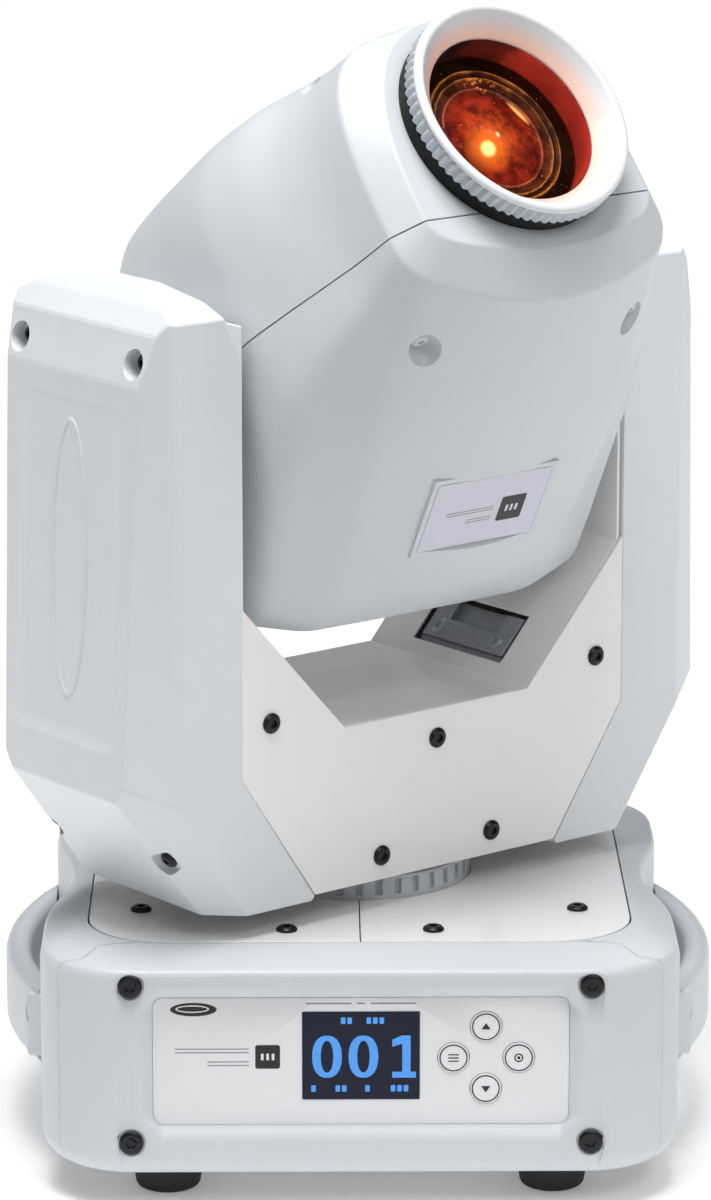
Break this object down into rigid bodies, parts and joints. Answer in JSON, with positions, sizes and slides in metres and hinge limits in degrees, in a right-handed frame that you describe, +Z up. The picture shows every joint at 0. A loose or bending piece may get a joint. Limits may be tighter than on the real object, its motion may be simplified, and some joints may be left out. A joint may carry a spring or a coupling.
{
  "type": "moving head light",
  "caption": "Compact moving head spotlight: a base with a control panel, a yoke that pans, and a head that tilts with a knurled focus ring and lens.",
  "frame": {"origin": "on the floor under the pan axis, at the middle of the base", "axes": "+Z up along the pan axis; the control panel faces -Y; +X is to the right when the panel is faced"},
  "size_m": [0.275, 0.2397, 0.4426],
  "materials": {
    "shell_plastic": "satin moulded, cool white",
    "white_paint": "glossy powder coat, warm white",
    "panel_film": "satin printed film",
    "display_glass": "gloss",
    "black_screws": "black oxide",
    "rubber": "matte",
    "black_plastic": "matte",
    "sheet_steel": "zinc plated",
    "board": "solder mask",
    "bright_metal": "machined",
    "shaft_steel": "ground",
    "bracket_steel": "dark satin",
    "motor_black": "satin black",
    "label_film": "satin",
    "filter_glass": "coated",
    "lens_glass": "coated"
  },
  "bodies": {
    "base": {"base_chassis": "sheet_steel", "front_bezel": "shell_plastic", "rear_bezel": "shell_plastic", "side_shell_left": "shell_plastic", "side_shell_right": "shell_plastic", "handle_left": "shell_plastic", "handle_right": "shell_plastic", "top_plate_left": "white_paint", "top_plate_right": "white_paint", "control_panel": "panel_film", "display": "display_glass", "bezel_screws": "black_screws", "top_plate_screws": "black_screws", "handle_screws": "black_screws", "rubber_feet": "rubber", "power_inlet": "black_plastic", "data_input_socket": "black_plastic", "data_output_socket": "black_plastic", "power_supply": "bright_metal", "main_board": "board", "vent_collar": "shell_plastic", "pan_bearing": "shaft_steel", "pan_motor": "motor_black", "pan_belt": "rubber"},
    "yoke": {"pan_shaft": "shaft_steel", "pan_pulley": "bright_metal", "yoke_frame": "white_paint", "yoke_front_plate": "white_paint", "yoke_rear_plate": "white_paint", "arm_cover_left": "shell_plastic", "arm_cover_right": "shell_plastic", "yoke_plate_screws": "black_screws", "arm_cover_screws": "black_screws", "yoke_bracket": "bracket_steel", "tilt_motor": "motor_black", "tilt_belt": "rubber", "tilt_bearings": "shaft_steel"},
    "head": {"tilt_shafts": "shaft_steel", "tilt_pulley": "bright_metal", "head_frame": "sheet_steel", "head_shell_rear": "shell_plastic", "head_shell_front": "shell_plastic", "neck_ring": "black_plastic", "head_screws": "black_screws", "label_plate": "label_film", "led_engine": "bright_metal", "heat_sink": "bright_metal", "fan_frame": "black_plastic", "lens_barrel": "motor_black"},
    "focus_ring": {"focus_ring": "shell_plastic"},
    "lens_carriage": {"front_lens": "lens_glass"},
    "fan_rotor": {"fan_rotor": "black_plastic"},
    "colour_wheel": {"colour_wheel": "filter_glass"},
    "gobo_wheel": {"gobo_wheel": "bright_metal"},
    "pan_motor_pulley": {"pan_motor_pulley": "bright_metal"},
    "tilt_motor_pulley": {"tilt_motor_pulley": "bright_metal"},
    "button_up": {"button_up": "panel_film"},
    "button_down": {"button_down": "panel_film"},
    "button_menu": {"button_menu": "panel_film"},
    "button_enter": {"button_enter": "panel_film"}
  },
  "joints": [
    {"name": "pan", "type": "hinge", "parent": "base", "child": "yoke", "pos_m": [0, 0, 0.1], "axis": [0, 0, 1], "range_deg": [-308.3, 231.7]},
    {"name": "tilt", "type": "hinge", "parent": "yoke", "child": "head", "pos_m": [0, 0, 0.305], "axis": [0.7848, 0.6198, 0], "range_deg": [-176.7, 93.3]},
    {"name": "focus_turn", "type": "hinge", "parent": "head", "child": "focus_ring", "pos_m": [0.05561, -0.07042, 0.40377], "axis": [0.4796, -0.6073, 0.6334], "range_deg": [0, 124]},
    {"name": "lens_slide", "type": "slide", "parent": "head", "child": "lens_carriage", "axis": [0.4796, -0.6073, 0.6334], "range_m": [-0.006, 0]},
    {"name": "fan_spin", "type": "hinge", "parent": "head", "child": "fan_rotor", "pos_m": [-0.02241, 0.02838, 0.27024], "axis": [0.4796, -0.6073, 0.6334], "continuous": true},
    {"name": "colour_wheel_spin", "type": "hinge", "parent": "head", "child": "colour_wheel", "pos_m": [0.00748, -0.00948, 0.3092], "axis": [0.4796, -0.6073, 0.6334], "continuous": true},
    {"name": "gobo_wheel_spin", "type": "hinge", "parent": "head", "child": "gobo_wheel", "pos_m": [0.01228, -0.01555, 0.31553], "axis": [0.4796, -0.6073, 0.6334], "continuous": true},
    {"name": "pan_motor_spin", "type": "hinge", "parent": "base", "child": "pan_motor_pulley", "pos_m": [0, 0.066, 0.073], "axis": [0, 0, 1], "range_deg": [-1240, 930]},
    {"name": "tilt_motor_spin", "type": "hinge", "parent": "yoke", "child": "tilt_motor_pulley", "pos_m": [0, 0, 0.15], "axis": [0.7848, 0.6198, 0], "range_deg": [-490, 260]},
    {"name": "press_up", "type": "slide", "parent": "base", "child": "button_up", "axis": [0, 1, 0], "range_m": [0, 0.0008], "stiffness_N_per_m": 800, "springref_m": -0.0004},
    {"name": "press_down", "type": "slide", "parent": "base", "child": "button_down", "axis": [0, 1, 0], "range_m": [0, 0.0008], "stiffness_N_per_m": 800, "springref_m": -0.0004},
    {"name": "press_menu", "type": "slide", "parent": "base", "child": "button_menu", "axis": [0, 1, 0], "range_m": [0, 0.0008], "stiffness_N_per_m": 800, "springref_m": -0.0004},
    {"name": "press_enter", "type": "slide", "parent": "base", "child": "button_enter", "axis": [0, 1, 0], "range_m": [0, 0.0008], "stiffness_N_per_m": 800, "springref_m": -0.0004}
  ],
  "couplings": [
    {"joint": "pan_motor_spin", "follows": "pan", "ratio": 4},
    {"joint": "tilt_motor_spin", "follows": "tilt", "ratio": 2.75},
    {"joint": "focus_turn", "follows": "lens_slide", "rad_per_m": -349.07}
  ]
}
